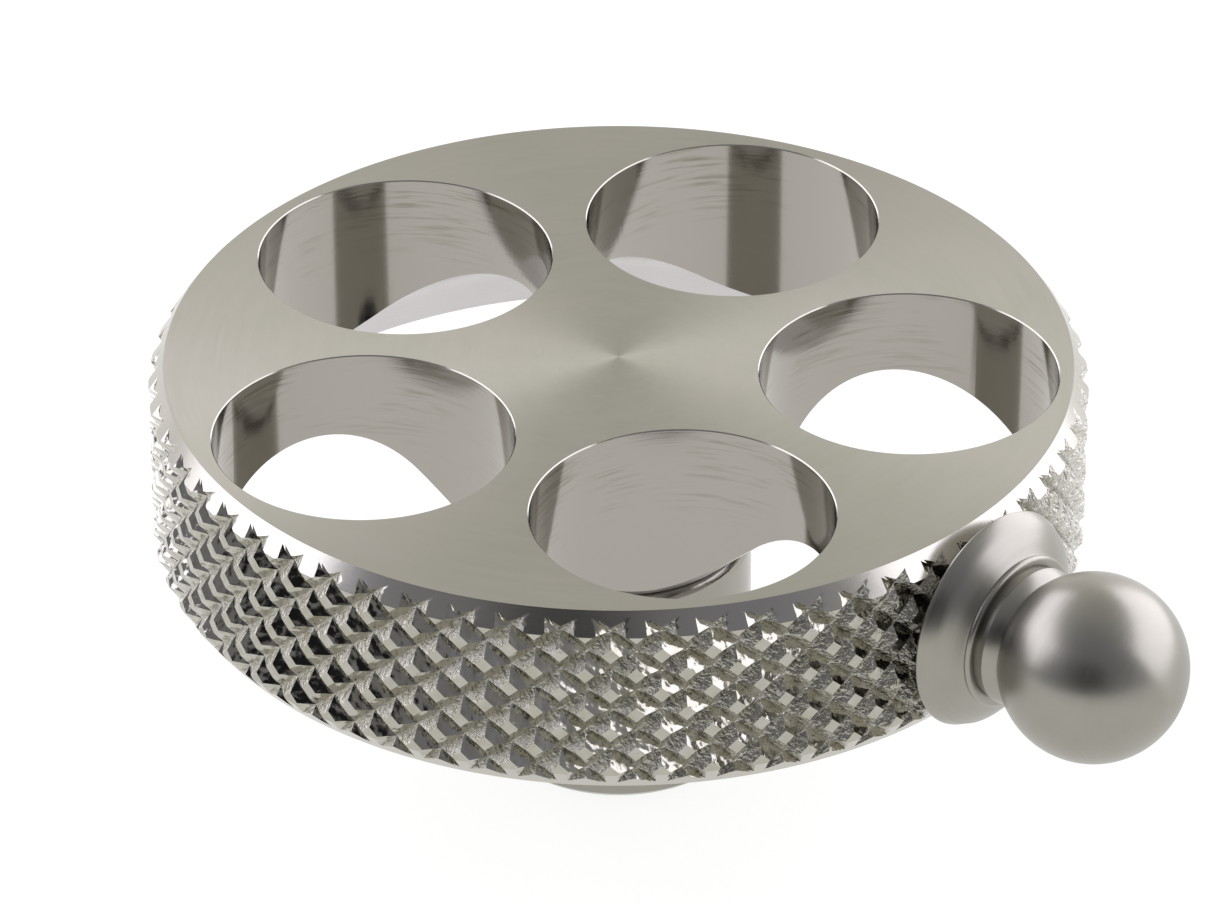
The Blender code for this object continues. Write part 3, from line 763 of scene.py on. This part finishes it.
def cut_knurl():
    """Bright cut metal, more crumpled on the flanks that face one way round the rim."""
    look = Look("cut_nickel_knurl", 0.06)
    torn = look.noise(scale=3400.0, detail=6.0)
    look.colour(look.noise(scale=900.0), *KNURL_NICKEL)
    look.roughness(torn, low=0.015, high=0.06)
    around = look.vector("NORMALIZE", look.vector("CROSS_PRODUCT", UP, look.place)["Vector"])["Vector"]
    normal = look.add("ShaderNodeTexCoord").outputs["Normal"]
    facing = look.vector("DOT_PRODUCT", around, normal)["Value"]
    crumpled = look.spread(facing, 1.0, 0.12, from_low=-0.3, from_high=0.2)
    folds = look.math("MULTIPLY", look.noise(scale=1100.0, detail=1.0), 0.9)
    relief = look.math("ADD", look.math("MULTIPLY", torn, crumpled), folds)
    look.bump(relief, distance=0.00022, strength=0.8)
    return look.material


# Unless colours are given, a piece takes the darker copy of the nickel, which is painted shade.
def turned_nickel(name, low, high, anisotropy, relief, colours=SHADED_SATIN_NICKEL):
    """Satin with fine turned lines, its roughness going from low to high across them."""
    look = Look(name, low, anisotropy=anisotropy)
    look.turned_grain()
    lines = look.brush_lines(per_metre=9000.0, drift=2.2)
    look.colour(look.noise(scale=350.0), *colours)
    look.roughness(lines, low, high)
    look.bump(lines, distance=relief, strength=0.5)
    return look.material


def plain_look(name, dark, light, low, high, metallic):
    """An even surface with a fine grain."""
    look = Look(name, low, metallic)
    grain = look.noise(scale=1800.0)
    look.colour(look.noise(scale=400.0), dark, light)
    look.roughness(grain, low, high)
    look.bump(grain, distance=0.000006, strength=0.5)
    return look.material


# ---------------------------------------------------------------- the pieces on their bodies
def fit_fine_pieces():
    """The four pieces with a fine surface, in the place of their plain nodes."""
    # The recess's lighter, lilac nickel is a painted reflection of the softboxes.
    recess = turned_nickel("turned_nickel_recess", 0.24, 0.34, 0.3, 0.000002, LIT_RECESS_NICKEL)
    # The hub and the knob take the darker, painted-shade copy of the nickel.
    hub = turned_nickel("turned_nickel_hub", 0.14, 0.24, 0.4, 0.000004)
    knob = turned_nickel("satin_nickel_knob", 0.26, 0.42, 0.45, 0.00001)
    wheel_looks = [cut_knurl(), brushed_face(), chamfer_band(), hole_edge(), hole_wall(), recess]
    for piece, node, slot in (
        (knurled_wheel(wheel_looks), "knurled_wheel", "nickel_wheel"),
        (hub_sleeve(hub), "hub_sleeve", "nickel_hub"),
        (knob_flange(knob), "knob_flange", "nickel_knob"),
        (knob_ball(knob), "knob_ball", "nickel_knob"),
    ):
        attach(piece, "handle")
        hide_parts(node)


def dress_plain_nodes():
    """The other pieces keep their plain shapes, and get a material."""
    looks = {name: plain_look(name, *values) for name, values in PLAIN_LOOKS.items()}
    for node, name in PLAIN_NODES.items():
        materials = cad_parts[node].data.materials
        materials.clear()
        materials.append(looks[name])


# ---------------------------------------------------------------- the studio
def floor():
    """A pale floor at the foot of the glide ring, which glows a little."""
    mesh = bmesh.new()
    bmesh.ops.create_grid(mesh, x_segments=FLOOR_SQUARES, y_segments=FLOOR_SQUARES, size=FLOOR_SIZE / 2)
    look = Look("pale_floor", 0.9, metallic=0.0)
    look.colour(look.noise(scale=3.0), *FLOOR_COLOURS)
    look.shader.inputs["Emission Color"].default_value = FLOOR_GLOW
    look.shader.inputs["Emission Strength"].default_value = FLOOR_GLOW_STRENGTH
    look.shader.inputs["Specular IOR Level"].default_value = 0.1
    obj = link("floor", mesh, [look.material])
    obj.location.z = RING_LOW.z


def direction_at(azimuth_degrees, elevation_degrees):
    """Azimuth counts from the viewer, towards the right."""
    azimuth = math.radians(azimuth_degrees)
    elevation = math.radians(elevation_degrees)
    level = TOWARDS_VIEWER * math.cos(azimuth) + TO_THE_RIGHT * math.sin(azimuth)
    return level * math.cos(elevation) + UP * math.sin(elevation)


def softbox(name, azimuth_degrees, elevation_degrees, width, height, watts):
    """A lit panel, aimed at the wheel."""
    direction = direction_at(azimuth_degrees, elevation_degrees)
    light = bpy.data.lights.new(name, "AREA")
    light.shape = "RECTANGLE"
    light.size = width
    light.size_y = height
    light.energy = watts
    light.color = LILAC
    obj = bpy.data.objects.new(name, light)
    obj.location = direction * SOFTBOX_DISTANCE
    obj.rotation_euler = direction.to_track_quat("Z", "Y").to_euler()
    bpy.context.scene.collection.objects.link(obj)


def studio_world():
    """A plain grey room, dark round the viewer and brighter behind the object."""
    world = bpy.data.worlds.new("studio")
    world.use_nodes = True
    tree = world.node_tree
    background = tree.nodes["Background"]
    place = tree.nodes.new("ShaderNodeTexCoord")
    dot = tree.nodes.new("ShaderNodeVectorMath")
    dot.operation = "DOT_PRODUCT"
    dot.inputs[1].default_value = direction_at(*DARKEST)
    tree.links.new(place.outputs["Generated"], dot.inputs[0])
    angle = tree.nodes.new("ShaderNodeMath")
    angle.operation = "ARCCOSINE"
    tree.links.new(dot.outputs["Value"], angle.inputs[0])
    share = tree.nodes.new("ShaderNodeMath")
    share.operation = "DIVIDE"
    share.inputs[1].default_value = math.pi
    tree.links.new(angle.outputs[0], share.inputs[0])
    ramp = tree.nodes.new("ShaderNodeValToRGB")
    stops = ramp.color_ramp.elements
    while len(stops) < len(ROOM_STOPS):
        stops.new(1.0)
    for stop, (degrees, colour) in zip(stops, ROOM_STOPS):
        stop.position = degrees / 180
        stop.color = (*colour, 1.0)
    tree.links.new(share.outputs[0], ramp.inputs["Fac"])
    tree.links.new(ramp.outputs["Color"], background.inputs["Color"])
    bpy.context.scene.world = world


def camera():
    """Aimed just below the middle of the top face."""
    face_centre = Vector((0, 0, WHEEL_TOP))
    direction = direction_at(0, VIEW_ELEVATION_DEGREES)
    upward = direction.cross(TO_THE_RIGHT)
    place = face_centre + direction * VIEW_DISTANCE
    target = face_centre - upward * AIM_BELOW - TO_THE_RIGHT * AIM_LEFT
    data = bpy.data.cameras.new("camera")
    data.sensor_width = SENSOR_MM
    data.lens = LENS_MM
    data.clip_start = CLIP_FROM
    data.clip_end = CLIP_TO
    obj = bpy.data.objects.new("camera", data)
    obj.location = place
    obj.rotation_euler = (place - target).to_track_quat("Z", "Y").to_euler()
    bpy.context.scene.collection.objects.link(obj)
    bpy.context.scene.camera = obj


fit_fine_pieces()
dress_plain_nodes()
floor()
for box_name, box_values in SOFTBOXES.items():
    softbox(box_name, *box_values)
studio_world()
camera()
bpy.context.scene.view_settings.view_transform = "Standard"
